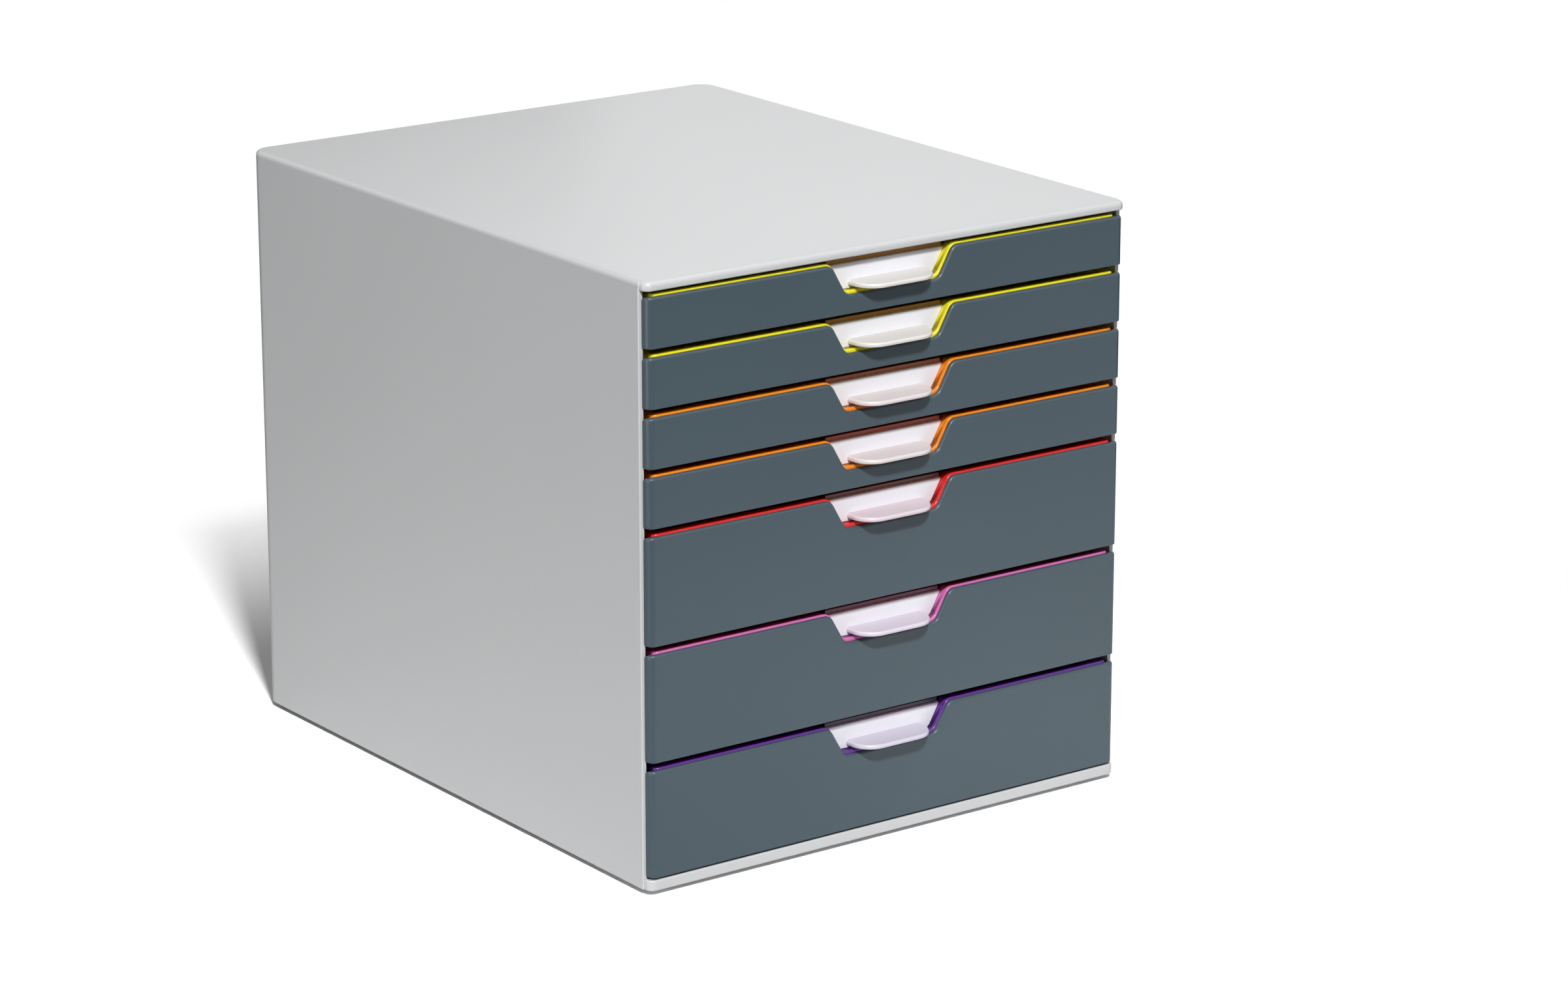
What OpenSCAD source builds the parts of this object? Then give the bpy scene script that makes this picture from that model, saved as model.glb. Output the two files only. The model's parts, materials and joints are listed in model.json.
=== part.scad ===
// Desktop box with seven sliding drawers for documents: four shallow ones above three deep ones.
// The origin is on the table, below the middle of the whole box. The drawers face -Y.

/* [Casing] */
// Outer width of the casing
case_w = 280; // [250:1:340]
// Depth of the casing from the front lips to the back
case_d = 347.5; // [280:0.5:420]
// Thickness of the side and back walls
wall = 2.5; // [2:0.1:3.5]
// Thickness of the roof plate
roof_t = 2.5; // [2:0.1:4]
// Thickness of the floor plate
floor_t = 2.5; // [2:0.1:4]
// Radius of the two upright rear corners
rear_r = 10; // [6:0.5:16]
// Radius of the long upper edges of the roof
roof_edge_r = 1.5; // [0.5:0.1:2]

/* [Front lips] */
// How far the two lips stand in front of the side walls
lip_out = 5; // [4.5:0.1:7]
// How far the ends of the lips lie inside the outer sides
lip_inset = 0.5; // [0:0.1:1]
// Radius of the upright corners of the lips
lip_r = 4; // [1:0.1:4.4]
// Height of the top lip
top_lip_h = 4.5; // [4:0.1:8]
// Height of the base lip
base_lip_h = 5.6; // [4:0.1:9]

/* [Feet] */
// Height of the feet, which is the gap under the box
foot_h = 2.5; // [1.5:0.1:6]
// Diameter of a foot where it meets the floor plate
foot_d = 14; // [8:0.5:20]
// Distance from the outer sides to the middle of a foot
foot_in_x = 24; // [20:1:60]
// Distance from the front and back to the middle of a foot
foot_in_y = 28; // [20:1:80]
// How much narrower a foot is at the table
foot_taper = 2; // [0:0.5:4]

/* [Locating ribs and nub] */
// Play between casing mouldings that locate in each other
fit_play = 0.15; // [0.1:0.05:0.3]
// Thickness of the locating ribs on the roof and floor
locator_t = 2; // [1.2:0.1:3]
// Height of the locating ribs on the roof and floor
locator_h = 2.8; // [1.5:0.1:2.8]
// Width of the small nub at the middle of the top lip
nub_w = 3; // [2:0.5:6]
// Depth of the nub
nub_d = 2; // [1:0.5:4]
// How far the nub stands below the top lip
nub_h = 0.8; // [0.4:0.1:1]

/* [Drawer stack] */
// Height of one drawer unit; a deep drawer takes two
unit_h = 28; // [26:0.5:40]
// Gap between the rim of one drawer and the front of the next
front_gap = 3.4; // [3:0.1:5]
// Gap between the base lip and the lowest front
base_gap = 0.9; // [0.5:0.1:3]
// Gap between the rim of the highest drawer and the top lip
top_gap = 1.9; // [1.2:0.1:4]
// How far a drawer slides out before its lugs meet the stops
travel = 270; // [120:5:290]

/* [Drawer fronts] */
// Thickness of the slate front caps
front_t = 2; // [1.6:0.1:2.4]
// How far the ends of the fronts lie inside the outer sides
front_inset = 1.6; // [1:0.1:2.4]
// Radius of the upright corners of the fronts
front_r = 3.5; // [2.5:0.1:4]
// Radius of the four corners of a front, seen from the front
front_corner_r = 1.8; // [0.5:0.1:3]
// Radius of the upper front edge
front_top_r = 2; // [0.5:0.1:2]
// Gap between the rear edge of a front cap and the side wall behind it
front_back_gap = 0.3; // [0.2:0.1:1]

/* [Label notch] */
// Width of the notch at its top edge
notch_top_w = 70.6; // [60:0.2:100]
// Width of the notch at its floor
notch_floor_w = 53.4; // [48:0.2:58]
// Depth of the notch, from the top of the rim to the floor of the notch in the front cap
notch_d = 15; // [14:0.1:17]
// Radius of the corners of the notch
notch_r = 5; // [1:0.1:6]
// How far the coloured rim stands above the front cap, along the top edge and in the notch
rim_lift = 0.8; // [0:0.1:1.2]

/* [Label and grip] */
// Thickness of the label card
label_t = 0.4; // [0.3:0.1:1]
// Distance from the top of the rim down to the top of the card
label_drop = 2.2; // [1.5:0.1:4]
// Thickness of the holder plate
plate_t = 1.6; // [1:0.1:2.4]
// Distance from the top of the card down to the top of the holder plate
plate_drop = 0.7; // [0.2:0.1:2]
// Play between the holder or card and the slopes of the notch
label_play = 0.25; // [0.1:0.05:0.6]
// How far the finger lip stands in front of the drawer fronts
grip_out = 8.5; // [6:0.1:14]
// Width of the finger lip
grip_w = 44; // [30:1:46]
// Radius of the front corners of the finger lip
grip_r = 11; // [4:0.5:12]
// Distance from the top of the rim down to the finger lip
grip_drop = 9; // [7:0.1:10]
// Height of the down-turned rim of the finger lip
grip_rim_h = 3; // [2.4:0.1:3.6]
// Thickness of the finger lip and its rim
grip_t = 1.4; // [1:0.1:2]

/* [Trays] */
// Depth of the coloured front rim, from the front cap to the label
rim_d = 5.5; // [4.5:0.1:9]
// Gap between the ends of the coloured rim and the side returns of the front cap
rim_end_gap = 1.9; // [0.4:0.1:2.4]
// Thickness of the coloured front rim
rim_t = 2; // [1.5:0.1:2.4]
// Radius of the upright corners of the coloured rim
rim_r = 3; // [1:0.1:4]
// How far the tray's walls and runner flanges lie below the top of the front rim
rim_step = 1; // [0.4:0.1:1.2]
// Thickness of the tray walls
tray_t = 2; // [1.4:0.1:2.6]
// Thickness of the tray floor
tray_floor_t = 1.6; // [1.2:0.1:2.4]
// Height of the tray's underside above the lower edge of its front
tray_lift = 1; // [0.6:0.1:2]
// Gap between the back of a tray and the back panel
tray_back_gap = 3.5; // [2:0.5:20]
// Radius of the upright rear corners of a tray
tray_r = 3; // [3:0.5:10]

/* [Runners] */
// Width of a runner rib, inwards from the side wall
rib_w = 6; // [5:0.1:10]
// Thickness of a runner rib
rib_t = 1.8; // [1.2:0.1:2.4]
// Thickness of the tray flange that slides on the rib
flange_t = 2; // [1.4:0.1:2.4]
// Height of the gap between a flange and its rib
slide_gap = 0.2; // [0.1:0.05:0.5]
// Play between a tray and what it passes at the sides
side_play = 0.8; // [0.5:0.1:1.2]
// Height of the stop under the front end of a rib
stop_h = 2.6; // [2:0.1:3.5]
// Length of the stop along the rib
stop_d = 3; // [2:0.5:6]
// Height of the stop lugs on a tray
lug_h = 2.2; // [1.6:0.1:2.4]
// Length of a stop lug along the tray
lug_d = 3; // [2:0.5:6]
// Clearance between lug and stop when the drawer is fully out
stop_play = 0.4; // [0.2:0.1:1]
// Clearance between a lug and the underside of its rib
lug_play = 0.3; // [0.2:0.05:0.5]
// Distance from the front wall of a tray back to the front end of its ribs
rib_front_gap = 2.5; // [2:0.1:10]
// Distance from the rounding of the rear corner to the rear end of the ribs
rib_rear_gap = 3; // [1:0.5:20]
// How far a runner flange ends in front of the rear end of its rib
flange_rear_gap = 2; // [1:0.5:20]
// How far a lug reaches outwards under its rib
lug_reach = 3.3; // [2:0.1:5]

/* [Hidden] */

// Height of each drawer in units and colour of its tray, from the top drawer down
drawer_units = [1, 1, 1, 1, 2, 2, 2];
tray_colours = ["#ebdc23", "#ebdc23", "#f08712", "#f08712", "#e0352d", "#c176aa", "#6e2d96"];
casing_colour = "#d9dbdb";
front_colour = "#505d66";
grip_colour = "#e4dfe6";
label_colour = "#f5f5f8";
foot_colour = "#3a3a3a";

// Straight steps that stand for a quarter turn of a rounded outline
arc_steps = 8;

// Places along Y
depth = case_d + grip_out;
y_face = -depth / 2 + grip_out;
y_back = depth / 2;
y_wall = y_face + lip_out;
y_rim = y_face + front_t;
y_seat = y_rim + rim_d;
y_inside = y_seat + tray_t;
y_tray_back = y_back - wall - tray_back_gap;
y_rib_front = y_inside + rib_front_gap;
y_rib_back = y_back - rear_r - rib_rear_gap;
y_lug = y_rib_front + stop_d + travel + stop_play;

// Half widths along X
x_out = case_w / 2;
x_in = x_out - wall;
x_lip = x_out - lip_inset;
x_front = x_out - front_inset;
x_rim = x_front - front_t - rim_end_gap;
x_flange = x_in - side_play;
x_body = x_in - rib_w - side_play;
x_lug = x_body + lug_reach;

// Heights
units = total(drawer_units, 0);
z_floor = foot_h + floor_t;
z_first = foot_h + base_lip_h + base_gap;
z_lip = z_first + units * unit_h - front_gap + top_gap;
case_h = z_lip + top_lip_h;
z_roof = case_h - roof_t;

// Slope of the notch's sides, sideways for each millimetre up
notch_slope = (notch_top_w - notch_floor_w) / 2 / notch_d;

function total(list, from) = from >= len(list) ? 0 : list[from] + total(list, from + 1);
function front_h(k) = drawer_units[k - 1] * unit_h - front_gap;
function front_z(k) = z_first + total(drawer_units, k) * unit_h;
function rim_z(k) = front_z(k) + front_h(k);
function flange_z(k) = rim_z(k) - rim_step;
function rib_z(k) = flange_z(k) - flange_t - slide_gap - rib_t;

// Half width of the notch at a depth below the top edge of the front
function notch_half(down) = notch_top_w / 2 - down * notch_slope;

function unit(v) = v / norm(v);

// The points that round corner b of an outline, between its neighbours a and c; b is [x, y, radius]
function corner(a, b, c) = b[2] == 0 ? [[b.x, b.y]] :
    let (at = [b.x, b.y], u = unit([a.x, a.y] - at), v = unit([c.x, c.y] - at),
         half = acos(u * v) / 2, centre = at + unit(u + v) * b[2] / sin(half),
         p = at + u * b[2] / tan(half) - centre, q = at + v * b[2] / tan(half) - centre,
         start = atan2(p.y, p.x), sweep = atan2(p.x * q.y - p.y * q.x, p * q),
         steps = max(2, ceil(abs(sweep) / 90 * arc_steps)))
    [for (i = [0:steps]) centre + b[2] * [cos(start + sweep * i / steps), sin(start + sweep * i / steps)]];

// A closed outline through [x, y, radius] points, with each corner rounded by its radius
function rounded(pts) = let (n = len(pts))
    [for (i = [0:n - 1]) each corner(pts[(i + n - 1) % n], pts[i], pts[(i + 1) % n])];

// Stands an outline in X and Z up between two places along Y
module upright(y0, y1) {
    translate([0, y1, 0]) rotate([90, 0, 0]) linear_extrude(y1 - y0) children();
}

// Runs an outline in Y and Z along X, to the same distance on both sides
module across(half) {
    translate([-half, 0, 0]) rotate([90, 0, 90]) linear_extrude(2 * half) children();
}

// Raises an outline in X and Y between two heights
module raised(z0, z1) {
    translate([0, 0, z0]) linear_extrude(z1 - z0) children();
}

module box(x0, x1, y0, y1, z0, z1) {
    translate([x0, y0, z0]) cube([x1 - x0, y1 - y0, z1 - z0]);
}

// Plan of the roof and floor: rounded at the rear, with a lip of its own width at the front
module lip_plan(half) {
    polygon(rounded([[-x_lip, y_face, lip_r], [x_lip, y_face, lip_r], [x_lip, y_wall, 0],
        [half, y_wall, 0], [half, y_back, rear_r], [-half, y_back, rear_r], [-half, y_wall, 0],
        [-x_lip, y_wall, 0]]));
}

// Locating ribs that stand just inside the two side panels
module locators(z0, z1) {
    for (s = [-1, 1])
        translate([s * (x_in - fit_play - locator_t / 2), 0, 0])
            box(-locator_t / 2, locator_t / 2, y_rib_front, y_rib_back - 2 * rear_r, z0, z1);
}

module top_cover() {
    color(casing_colour) {
        intersection() {
            union() {
                raised(z_roof, case_h) lip_plan(x_out);
                intersection() {
                    raised(z_lip, case_h) lip_plan(x_out);
                    box(-x_lip, x_lip, y_face, y_wall, z_lip, case_h);
                }
            }
            upright(y_face, y_back)
                polygon(rounded([[-x_out, z_lip - 1, 0], [x_out, z_lip - 1, 0],
                    [x_out, case_h, roof_edge_r], [-x_out, case_h, roof_edge_r]]));
            across(x_out)
                polygon(rounded([[y_face, z_lip - 1, 0], [y_back, z_lip - 1, 0],
                    [y_back, case_h, roof_edge_r], [y_face, case_h, roof_edge_r]]));
        }
        locators(z_roof - locator_h, z_roof);
        box(-nub_w / 2, nub_w / 2, y_wall - nub_d, y_wall, z_lip - nub_h, z_lip);
    }
}

module base_plate() {
    color(casing_colour) {
        raised(foot_h, z_floor)
            polygon(rounded([[-x_in, y_wall, 0], [x_in, y_wall, 0],
                [x_in, y_back - wall, rear_r], [-x_in, y_back - wall, rear_r]]));
        intersection() {
            raised(foot_h, foot_h + base_lip_h) lip_plan(x_out);
            box(-x_lip, x_lip, y_face, y_wall, foot_h, foot_h + base_lip_h);
        }
        locators(z_floor, z_floor + locator_h);
    }
}

// Right-hand side panel: the wall, the rounded rear corner and the runner ribs of all drawers
module side_panel() {
    inner_r = rear_r - wall;
    raised(foot_h, z_roof)
        polygon(concat(
            [[x_in, y_wall], [x_out, y_wall]],
            corner([x_out, y_wall], [x_out, y_back, rear_r], [0, y_back]),
            [[x_out - rear_r - wall, y_back], [x_out - rear_r - wall, y_back - wall]],
            corner([0, y_back - wall], [x_in, y_back - wall, inner_r], [x_in, y_wall])));
    for (k = [1:len(drawer_units)]) {
        box(x_in - rib_w, x_in, y_rib_front, y_rib_back, rib_z(k), rib_z(k) + rib_t);
        box(x_in - rib_w, x_in, y_rib_front, y_rib_front + stop_d, rib_z(k) - stop_h, rib_z(k));
    }
}

module back_panel() {
    half = x_out - rear_r - wall - fit_play;
    color(casing_colour) box(-half, half, y_back - wall, y_back, foot_h, z_roof);
}

module rubber_feet() {
    color(foot_colour)
        for (x = [-1, 1] * (x_out - foot_in_x), y = [y_face + foot_in_y, y_back - foot_in_y])
            translate([x, y, 0]) cylinder(h = foot_h, d1 = foot_d - foot_taper, d2 = foot_d, $fn = 48);
}

// Outline in X and Z with the notch cut into its top edge; the notch's floor is depth d below the top
module notched(half, z0, z1, r, d) {
    polygon(rounded([[-half, z0, r], [half, z0, r], [half, z1, r],
        [notch_half(0), z1, notch_r], [notch_half(d), z1 - d, notch_r],
        [-notch_half(d), z1 - d, notch_r], [-notch_half(0), z1, notch_r], [-half, z1, r]]));
}

// Slate front: a plate with a side return at each end, rounded at the upright and the upper edges
module front_panel(k) {
    z0 = front_z(k);
    z1 = rim_z(k) - rim_lift;
    y1 = y_wall - front_back_gap;
    color(front_colour) intersection() {
        upright(y_face, y1) notched(x_front, z0, z1, front_corner_r, notch_d - rim_lift);
        across(x_front)
            polygon(rounded([[y_face, z0, 0.8], [y1, z0, 0], [y1, z1, 0], [y_face, z1, front_top_r]]));
        raised(z0, z1) difference() {
            polygon(rounded([[-x_front, y_face, front_r], [x_front, y_face, front_r],
                [x_front, y1, 0], [-x_front, y1, 0]]));
            polygon(rounded([[front_t - x_front, y_rim, front_r - front_t],
                [x_front - front_t, y_rim, front_r - front_t],
                [x_front - front_t, y1 + 1, 0], [front_t - x_front, y1 + 1, 0]]));
        }
    }
}

// Hollow of the coloured front rim, open towards the front cap that closes it
module rim_hollow(z0, z1, d) {
    side_t = rim_t * sqrt(1 + notch_slope * notch_slope);
    xs = x_rim - max(rim_t, rim_r);
    polygon([[-xs, z0 + rim_t], [xs, z0 + rim_t], [xs, z1 - rim_t],
        [notch_half(rim_t) + side_t + 2, z1 - rim_t], [notch_half(d + rim_t) + side_t + 2, z1 - d - rim_t],
        [-notch_half(d + rim_t) - side_t - 2, z1 - d - rim_t], [-notch_half(rim_t) - side_t - 2, z1 - rim_t],
        [-xs, z1 - rim_t]]);
}

// Coloured tray: front wall with its hollow rim, floor, side walls with runner flanges, stop lugs
module tray(k) {
    z0 = front_z(k) + tray_lift;
    z1 = rim_z(k);
    d = notch_d - rim_lift;
    z_label = z1 - label_drop - plate_drop;
    half_label = notch_half(z1 - z_label - rim_t / 2);
    color(tray_colours[k - 1]) {
        difference() {
            intersection() {
                upright(y_rim, y_inside) notched(x_rim, z0, z1, 0.8, d);
                raised(z0, z1)
                    polygon(rounded([[-x_rim, y_rim, rim_r], [x_rim, y_rim, rim_r],
                        [x_rim, y_inside, 0], [-x_rim, y_inside, 0]]));
            }
            upright(y_rim - 1, y_seat) rim_hollow(z0, z1, d);
            box(-x_rim, x_rim, y_seat, y_inside, flange_z(k), z1 + 1);
        }
        upright(y_seat, y_inside)
            polygon([[-notch_half(0), z1 - d - rim_t], [notch_half(0), z1 - d - rim_t],
                [half_label, z_label], [-half_label, z_label]]);
        difference() {
            raised(z0, flange_z(k)) polygon(rounded([[-x_body, y_seat + 0.5, 0], [x_body, y_seat + 0.5, 0],
                [x_body, y_tray_back, tray_r], [-x_body, y_tray_back, tray_r]]));
            raised(z0 + tray_floor_t, z1 + 1)
                polygon(rounded([[tray_t - x_body, y_seat, 0], [x_body - tray_t, y_seat, 0],
                    [x_body - tray_t, y_tray_back - tray_t, tray_r - tray_t],
                    [tray_t - x_body, y_tray_back - tray_t, tray_r - tray_t]]));
            box(-x_body, x_body, y_seat, y_inside, z1 - d - rim_t / 2, z1 + 1);
        }
        for (s = [0, 1]) mirror([s, 0, 0]) {
            box(x_body - tray_t / 2, x_flange, y_inside - tray_t / 2, y_rib_back - flange_rear_gap,
                flange_z(k) - flange_t, flange_z(k));
            box(x_body - tray_t / 2, x_lug, y_lug, y_lug + lug_d, rib_z(k) - lug_play - lug_h,
                rib_z(k) - lug_play);
        }
    }
}

// Outline in X and Z of what sits in the notch, between two depths below the top edge
module notch_insert(k, top, d) {
    z1 = rim_z(k);
    polygon([[-notch_half(d) + label_play + notch_r / 2, z1 - d],
        [notch_half(d) - label_play - notch_r / 2, z1 - d],
        [notch_half(d - notch_r / 2) - label_play - 0.6, z1 - d + notch_r / 2],
        [notch_half(top) - label_play, z1 - top], [-notch_half(top) + label_play, z1 - top],
        [-notch_half(d - notch_r / 2) + label_play + 0.6, z1 - d + notch_r / 2]]);
}

module label(k) {
    color(label_colour)
        upright(y_seat - label_t, y_seat) notch_insert(k, label_drop, notch_d - rim_lift);
}

// Plan of the finger lip, drawn in by a margin at its sides and front
module grip_plan(y0, margin) {
    half = grip_w / 2 - margin;
    front = y_face - grip_out + margin;
    polygon(rounded([[-half, y0, 0], [-half, front, grip_r - margin], [half, front, grip_r - margin],
        [half, y0, 0]]));
}

// Frosted holder plate in front of the card, with the finger lip that stands out of it
module grip(k) {
    z1 = rim_z(k);
    y_plate = y_seat - label_t - plate_t;
    z_lip_top = z1 - grip_drop;
    color(grip_colour) {
        upright(y_plate, y_seat - label_t)
            notch_insert(k, label_drop + plate_drop, notch_d - rim_lift);
        difference() {
            raised(z_lip_top - grip_rim_h, z_lip_top) grip_plan(y_plate + plate_t / 2, 0);
            raised(z_lip_top - grip_rim_h - 1, z_lip_top - grip_t) grip_plan(y_plate - grip_t, grip_t);
        }
    }
}

top_cover();
base_plate();
color(casing_colour) mirror([1, 0, 0]) side_panel();  // left_side_panel
color(casing_colour) side_panel();  // right_side_panel
back_panel();
rubber_feet();
for (k = [1:len(drawer_units)]) {
    tray(k);
    front_panel(k);
    grip(k);
    label(k);
}
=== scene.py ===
import json
import math

import bmesh
import bpy
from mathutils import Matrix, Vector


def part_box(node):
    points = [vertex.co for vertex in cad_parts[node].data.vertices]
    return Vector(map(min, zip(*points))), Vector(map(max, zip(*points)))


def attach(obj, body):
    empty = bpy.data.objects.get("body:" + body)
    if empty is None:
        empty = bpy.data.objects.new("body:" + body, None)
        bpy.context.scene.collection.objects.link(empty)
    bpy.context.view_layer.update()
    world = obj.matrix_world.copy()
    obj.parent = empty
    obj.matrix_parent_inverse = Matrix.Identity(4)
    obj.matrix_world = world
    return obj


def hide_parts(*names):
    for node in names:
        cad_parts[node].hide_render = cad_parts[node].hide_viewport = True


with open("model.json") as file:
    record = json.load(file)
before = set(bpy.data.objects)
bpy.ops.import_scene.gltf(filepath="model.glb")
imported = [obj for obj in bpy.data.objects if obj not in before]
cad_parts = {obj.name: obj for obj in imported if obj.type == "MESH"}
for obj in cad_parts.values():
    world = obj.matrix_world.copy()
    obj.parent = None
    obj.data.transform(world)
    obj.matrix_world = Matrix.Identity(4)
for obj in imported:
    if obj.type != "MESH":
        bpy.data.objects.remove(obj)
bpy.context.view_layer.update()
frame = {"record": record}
MM = 0.001

# --- Camera -----------------------------------------------------------------------------------
# Stands a few steps away to the front left and a little above the box, as in the photograph,
# with a long lens, so that the roof, the left side and the drawer fronts all show.
lens_data = bpy.data.cameras.new("camera")
lens_data.sensor_width = 36.0
lens_data.lens = 112.641
lens_data.clip_start = 0.05
lens_data.clip_end = 30.0
camera = bpy.data.objects.new("camera", lens_data)
camera.location = (-1.34333, -1.91671, 0.81710)
look_down = 16.3562
look_right = 36.2357
camera.rotation_euler = (math.radians(90.0 - look_down), 0.0, math.radians(-look_right))
bpy.context.collection.objects.link(camera)
bpy.context.scene.camera = camera

# --- Roof -------------------------------------------------------------------------------------
# Moulded polystyrene plate that closes the casing. Its upper edges are softly rounded, and a lip
# hangs down along its front edge. Two ribs under it locate it between the side panels.
CASING_TINT = (207, 208, 209)
CASING_WALL = 2.5 * MM
CASING_CORNER = 10.0 * MM
ROOF_EDGE = 2.3 * MM
LOCATING_RIB_INSET = 3.65 * MM
LOCATING_RIB_HALF = 1.0 * MM
LOCATING_RIB_HIGH = 2.8 * MM
LOCATING_RIB_BACK = 145.0 * MM
RIB_FRONT = -157.5 * MM
GRAIN_DEPTH = 0.04 * MM
GLOSS_SPREAD = 0.01
ARC_STEPS = 7
EASE_BEND = 0.3


def tint(red, green, blue):
    """A colour written as on a screen, 0 to 255, in the linear values that a shader takes."""
    linear = []
    for level in (red, green, blue):
        share = level / 255
        linear.append(share / 12.92 if level <= 10 else ((share + 0.055) / 1.055) ** 2.4)
    return linear + [1.0]


def noise(nodes, links, place, scale, detail):
    """A noise that stays with the object."""
    node = nodes.new("ShaderNodeTexNoise")
    node.inputs["Scale"].default_value = scale
    node.inputs["Detail"].default_value = detail
    links.new(place.outputs["Object"], node.inputs["Vector"])
    return node


def map_range(nodes, least, most, new_least, new_most):
    """A node that maps the values from least to most onto another range."""
    node = nodes.new("ShaderNodeMapRange")
    ends = {"From Min": least, "From Max": most, "To Min": new_least, "To Max": new_most}
    for name, value in ends.items():
        node.inputs[name].default_value = value
    return node


def moulded(name, colour, roughness, grain, tone=0.03, grain_size=0.6 * MM):
    """Injection-moulded plastic: a faint grain, and slow changes of tone and gloss over the face."""
    material = bpy.data.materials.new(name)
    material.use_nodes = True
    nodes, links = material.node_tree.nodes, material.node_tree.links
    shader = nodes["Principled BSDF"]
    place = nodes.new("ShaderNodeTexCoord")
    slow = noise(nodes, links, place, 11.0, 1.0)
    shades = nodes.new("ShaderNodeValToRGB")
    for stop, place_on_ramp, factor in ((0, 0.1, 1 - tone), (1, 0.9, 1 + tone)):
        shades.color_ramp.elements[stop].position = place_on_ramp
        shades.color_ramp.elements[stop].color = [min(1.0, c * factor) for c in colour[:3]] + [1.0]
    links.new(slow.outputs["Fac"], shades.inputs["Fac"])
    links.new(shades.outputs["Color"], shader.inputs["Base Color"])
    cloudy = noise(nodes, links, place, 7.0, 1.0)
    gloss = map_range(nodes, 0.1, 0.9, roughness - GLOSS_SPREAD, roughness + GLOSS_SPREAD)
    links.new(cloudy.outputs["Fac"], gloss.inputs["Value"])
    links.new(gloss.outputs["Result"], shader.inputs["Roughness"])
    fine = noise(nodes, links, place, 1 / grain_size, 2.0)
    bump = nodes.new("ShaderNodeBump")
    bump.inputs["Strength"].default_value = grain
    bump.inputs["Distance"].default_value = GRAIN_DEPTH
    links.new(fine.outputs["Fac"], bump.inputs["Height"])
    links.new(bump.outputs["Normal"], shader.inputs["Normal"])
    return material


def rounded(corners):
    """A closed outline through corners given as (x, y, radius), each drawn as an arc."""
    outline = []
    for i, (x, y, radius) in enumerate(corners):
        if radius == 0:
            outline.append((x, y))
            continue
        before, after = corners[i - 1], corners[(i + 1) % len(corners)]
        u = (before[0] - x, before[1] - y)
        v = (after[0] - x, after[1] - y)
        u = (u[0] / math.hypot(*u), u[1] / math.hypot(*u))
        v = (v[0] / math.hypot(*v), v[1] / math.hypot(*v))
        half = math.acos(max(-1.0, min(1.0, u[0] * v[0] + u[1] * v[1]))) / 2
        middle = (u[0] + v[0], u[1] + v[1])
        far = radius / math.sin(half) / math.hypot(*middle)
        centre = (x + middle[0] * far, y + middle[1] * far)
        reach = radius / math.tan(half)
        first = (x + u[0] * reach - centre[0], y + u[1] * reach - centre[1])
        last = (x + v[0] * reach - centre[0], y + v[1] * reach - centre[1])
        start = math.atan2(first[1], first[0])
        cross = first[0] * last[1] - first[1] * last[0]
        sweep = math.atan2(cross, first[0] * last[0] + first[1] * last[1])
        steps = max(2, round(abs(sweep) / (math.pi / 2) * ARC_STEPS))
        for step in range(steps + 1):
            turn = start + sweep * step / steps
            outline.append((centre[0] + radius * math.cos(turn), centre[1] + radius * math.sin(turn)))
    return outline


def drawn_in(outline, margin):
    """The outline moved inwards by a margin all round; it runs anticlockwise."""
    moved = []
    for i, (x, y) in enumerate(outline):
        before, after = outline[i - 1], outline[(i + 1) % len(outline)]
        a = (x - before[0], y - before[1])
        b = (after[0] - x, after[1] - y)
        a = (-a[1] / math.hypot(*a), a[0] / math.hypot(*a))
        b = (-b[1] / math.hypot(*b), b[0] / math.hypot(*b))
        stretch = margin / (1 + a[0] * b[0] + a[1] * b[1])
        moved.append((x + (a[0] + b[0]) * stretch, y + (a[1] + b[1]) * stretch))
    return moved


def round_over(level, radius, way, steps=5):
    """Layers (margin, level) of a rounded edge that ends flat at a level.

    The way is 1 for an upper or far edge, and -1 for a lower or near one.
    """
    turns = [math.pi / 2 * step / steps for step in range(steps + 1)]
    layers = [(radius * (1 - math.cos(t)), level - way * radius * (1 - math.sin(t))) for t in turns]
    return layers if way > 0 else layers[::-1]


def eased(level, ease, way):
    """Layers (margin, level) of a small bevel in two steps, with the way as for a rounded edge."""
    middle = (ease * EASE_BEND, level - way * ease * EASE_BEND)
    layers = [(0.0, level - way * ease), middle, (ease, level)]
    return layers if way > 0 else layers[::-1]


def add_shell(shell, outline, layers, stand=lambda u, v, level: (u, v, level)):
    """Joins copies of an outline, one for each (margin, level), into a closed skin with end faces."""
    rings = []
    for margin, level in layers:
        rings.append([shell.verts.new(stand(u, v, level)) for u, v in drawn_in(outline, margin)])
    for lower, upper in zip(rings, rings[1:]):
        for i in range(len(outline)):
            j = (i + 1) % len(outline)
            shell.faces.new((lower[i], lower[j], upper[j], upper[i]))
    shell.faces.new(rings[0][::-1])
    shell.faces.new(rings[-1])


def add_bar(shell, low, high, ease):
    """A straight bar between two corners, with its edges eased."""
    outline = [(low[0], low[1]), (high[0], low[1]), (high[0], high[1]), (low[0], high[1])]
    layers = [(ease, low[2]), (0.0, low[2] + ease), (0.0, high[2] - ease), (ease, high[2])]
    add_shell(shell, outline, layers)


def add_locating_ribs(shell, low, high):
    """The two long ribs that hold a plate in place between the side panels."""
    for side in (-1, 1):
        middle = side * (half_width - LOCATING_RIB_INSET)
        add_bar(shell, (middle - LOCATING_RIB_HALF, RIB_FRONT, low),
                (middle + LOCATING_RIB_HALF, LOCATING_RIB_BACK, high), 0.3 * MM)


def even_flats(piece):
    """Shades the flat faces of a piece as flat, and keeps its sharp edges."""
    flats = piece.modifiers.new("even_flats", "WEIGHTED_NORMAL")
    flats.keep_sharp = True


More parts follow.
